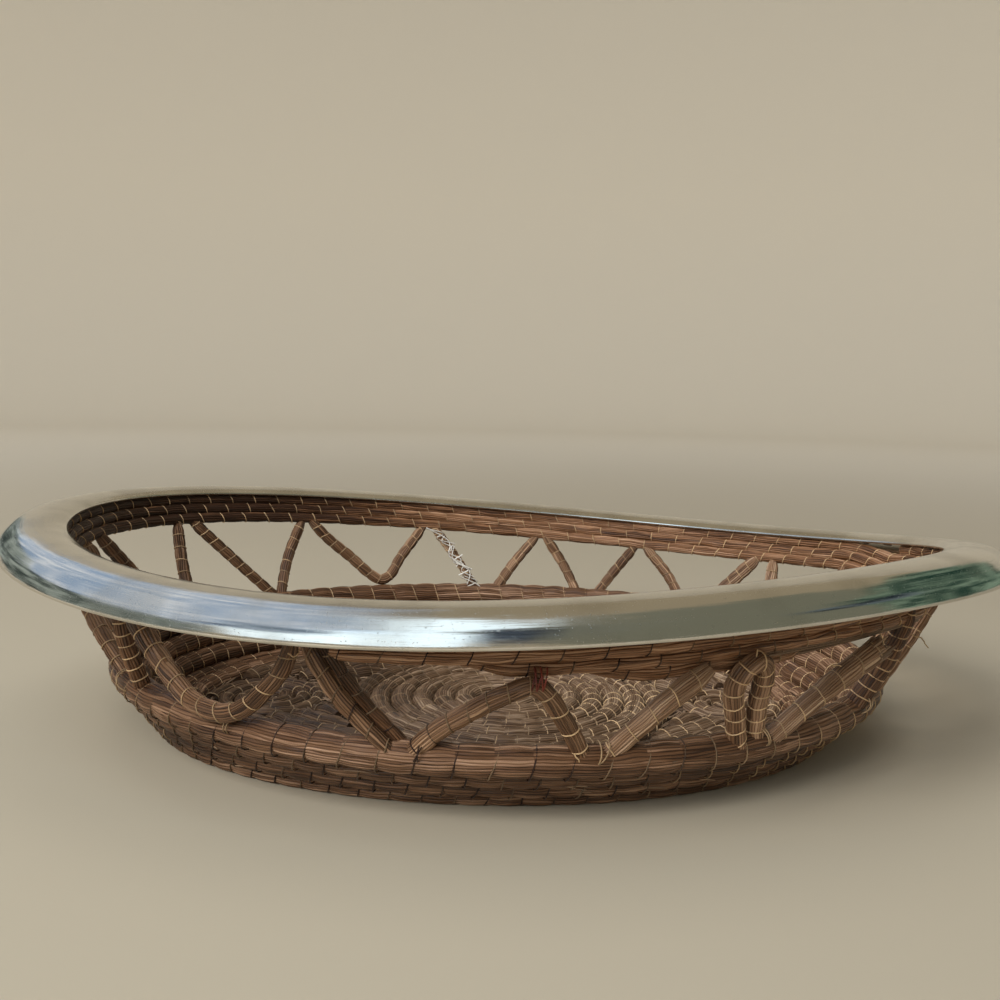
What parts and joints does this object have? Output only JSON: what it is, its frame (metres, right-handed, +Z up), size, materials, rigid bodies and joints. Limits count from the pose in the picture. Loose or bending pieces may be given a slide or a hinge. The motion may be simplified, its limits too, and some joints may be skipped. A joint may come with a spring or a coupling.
{
  "type": "coiled pine needle basket",
  "caption": "Long oval tray basket of sewn needle bundles with an open tier of slanting bundles under a wide domed metal rim; holds fruit, bread or small things",
  "frame": {"origin": "on the ground under the middle of the metal rim", "axes": "+X along the length, +Y across towards the back of the picture, +Z up"},
  "size_m": [0.4, 0.2858, 0.0861],
  "materials": {
    "rim_metal": "polished, worn",
    "needles_brown": "dry plant fibre",
    "needles_pale": "dry plant fibre",
    "needles_dark": "dry plant fibre",
    "needles_floor": "dry plant fibre"
  },
  "bodies": {
    "root": {"metal_rim": "rim_metal", "upper_band_winding": "needles_brown", "lower_wall_winding": "needles_brown", "floor_centre_coil": "needles_floor", "floor_left_coil": "needles_floor", "floor_right_coil": "needles_floor", "band_short_row_upper": "needles_brown", "band_short_row_lower": "needles_brown", "floor_row_2_back_1": "needles_floor", "floor_row_2_front_1": "needles_floor", "floor_row_3_back_1": "needles_floor", "floor_row_3_back_2": "needles_floor", "floor_row_3_front_1": "needles_floor", "floor_row_3_front_2": "needles_floor", "floor_row_4_back_1": "needles_floor", "floor_row_4_back_2": "needles_floor", "floor_row_4_front_1": "needles_floor", "floor_row_4_front_2": "needles_floor", "floor_row_5_back_1": "needles_floor", "floor_row_5_back_2": "needles_floor", "floor_row_5_front_1": "needles_floor", "floor_row_5_front_2": "needles_floor", "floor_row_6_back_1": "needles_floor", "floor_row_6_front_1": "needles_floor", "strut_back_frayed": "needles_brown", "strut_back_left_inner": "needles_brown", "strut_back_left_outer": "needles_brown", "strut_back_middle": "needles_brown", "strut_back_middle_right": "needles_brown", "strut_back_right_inner": "needles_brown", "strut_back_right_outer": "needles_brown", "strut_back_round_foot": "needles_brown", "strut_back_short_upright": "needles_brown", "strut_back_thick": "needles_brown", "strut_back_upright": "needles_brown", "strut_front_blunt_end": "needles_pale", "strut_front_dark_right": "needles_dark", "strut_front_leaning_dark": "needles_dark", "strut_front_leaning_left": "needles_brown", "strut_front_narrow_arch": "needles_brown", "strut_front_pale_wide": "needles_pale", "strut_front_round_foot": "needles_brown", "strut_front_short_dark": "needles_dark", "strut_front_tied_peak": "needles_brown", "strut_left_end_back": "needles_brown", "strut_left_end_dark": "needles_dark", "strut_left_end_front": "needles_brown", "strut_left_end_inner": "needles_brown", "strut_right_end_back": "needles_brown", "strut_right_end_front": "needles_brown", "strut_right_end_inner": "needles_brown", "strut_right_end_outer": "needles_brown", "strut_right_end_upright": "needles_brown"}
  },
  "joints": []
}
